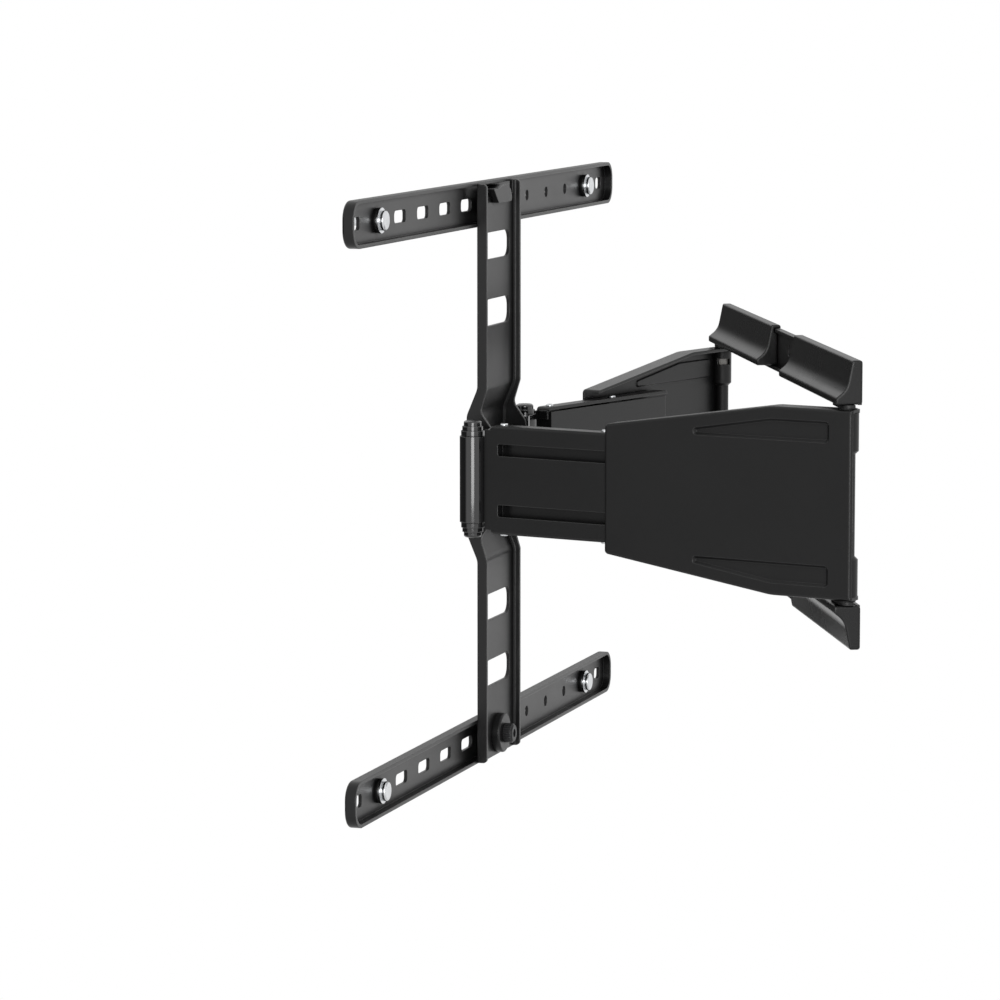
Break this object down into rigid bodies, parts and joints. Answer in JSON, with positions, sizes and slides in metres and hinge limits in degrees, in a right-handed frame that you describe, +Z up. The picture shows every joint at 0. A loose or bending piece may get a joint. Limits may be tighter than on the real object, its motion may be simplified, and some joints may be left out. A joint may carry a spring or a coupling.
{
  "type": "tilt and swivel screen wall mount",
  "caption": "Full-motion wall mount for a flat screen: telescoping swing arms on a covered wall frame carry a tilting upright strip with slotted cross rails.",
  "frame": {"origin": "on the wall plane, at the middle of the wall frame between the four wall slots", "axes": "+Y into the wall, +X along the wall to the right for a viewer facing it, +Z up"},
  "size_m": [0.5752, 0.3656, 0.433],
  "materials": {
    "powder_coat": "fine-textured satin black powder coat on pressed steel",
    "black_plastic": "satin black moulded plastic",
    "gloss_coat": "smooth glossy black coat on turned steel",
    "black_steel": "blackened steel",
    "nylon": "pale nylon",
    "zinc": "bright zinc plate"
  },
  "bodies": {
    "wall_frame": {"wall_top_rail": "powder_coat", "wall_bottom_rail": "powder_coat", "cover_top_right": "black_plastic", "cover_top_left": "black_plastic", "cover_bottom_right": "black_plastic", "cover_bottom_left": "black_plastic", "thrust_washers": "black_plastic", "right_wall_pin": "black_steel", "left_wall_pin": "black_steel"},
    "head": {"right_head_bracket": "gloss_coat", "left_head_bracket": "gloss_coat", "right_head_pin": "black_steel", "left_head_pin": "black_steel", "right_pin_collars": "gloss_coat", "left_pin_collars": "gloss_coat", "tilt_axle": "black_steel", "tilt_axle_nut": "black_steel", "tilt_clamp_bolt": "black_steel", "tilt_clamp_nut": "black_steel", "friction_washers": "nylon"},
    "panel": {"vertical_strip": "powder_coat", "top_panel_rail": "powder_coat", "bottom_panel_rail": "powder_coat", "top_hook": "powder_coat", "lock_boss": "powder_coat", "lock_screw": "black_steel", "screen_screws": "zinc", "screen_washers": "zinc", "screen_spacers": "black_plastic"},
    "right_outer_arm": {"right_outer_plate": "powder_coat", "right_wall_tube": "powder_coat", "right_arm_bushes": "nylon", "right_guide_studs": "black_steel"},
    "right_inner_arm": {"right_inner_plate": "powder_coat", "right_back_plate": "powder_coat", "right_flange_blocks": "black_plastic", "right_flange_screws": "zinc", "right_hinge_tube": "gloss_coat"},
    "left_outer_arm": {"left_outer_plate": "powder_coat", "left_wall_tube": "powder_coat", "left_arm_bushes": "nylon", "left_guide_studs": "black_steel"},
    "left_inner_arm": {"left_inner_plate": "powder_coat", "left_back_plate": "powder_coat", "left_flange_blocks": "black_plastic", "left_flange_screws": "zinc", "left_hinge_tube": "gloss_coat"}
  },
  "joints": [
    {"name": "right_swing", "type": "hinge", "parent": "wall_frame", "child": "right_outer_arm", "pos_m": [0.255, -0.0085, 0], "axis": [0, 0, 1], "range_deg": [-10.2, 1]},
    {"name": "right_slide", "type": "slide", "parent": "right_outer_arm", "child": "right_inner_arm", "axis": [-0.621, -0.7838, 0], "range_m": [-0.07822, 0.00803]},
    {"name": "head_swivel", "type": "hinge", "parent": "right_inner_arm", "child": "head", "pos_m": [0.06591, -0.25055, 0], "axis": [0, 0, 1], "range_deg": [-3.61, 35.02]},
    {"name": "left_swing", "type": "hinge", "parent": "wall_frame", "child": "left_outer_arm", "pos_m": [-0.255, -0.0085, 0], "axis": [0, 0, 1], "range_deg": [-0.82, 6.52]},
    {"name": "left_head_turn", "type": "hinge", "parent": "head", "child": "left_inner_arm", "pos_m": [-0.05128, -0.19664, 0], "axis": [0, 0, 1], "range_deg": [-18.5, 1.99]},
    {"name": "screen_tilt", "type": "hinge", "parent": "head", "child": "panel", "pos_m": [0.00731, -0.2236, 0], "axis": [0.9085, -0.4179, 0], "range_deg": [-5, 10]}
  ],
  "couplings": [
    {"joint": "right_slide", "follows": "right_swing", "m_per_rad": 0.43711},
    {"joint": "head_swivel", "follows": "right_swing", "ratio": -3.4137},
    {"joint": "left_swing", "follows": "right_swing", "ratio": -0.61926},
    {"joint": "left_head_turn", "follows": "right_swing", "ratio": 1.7944}
  ]
}
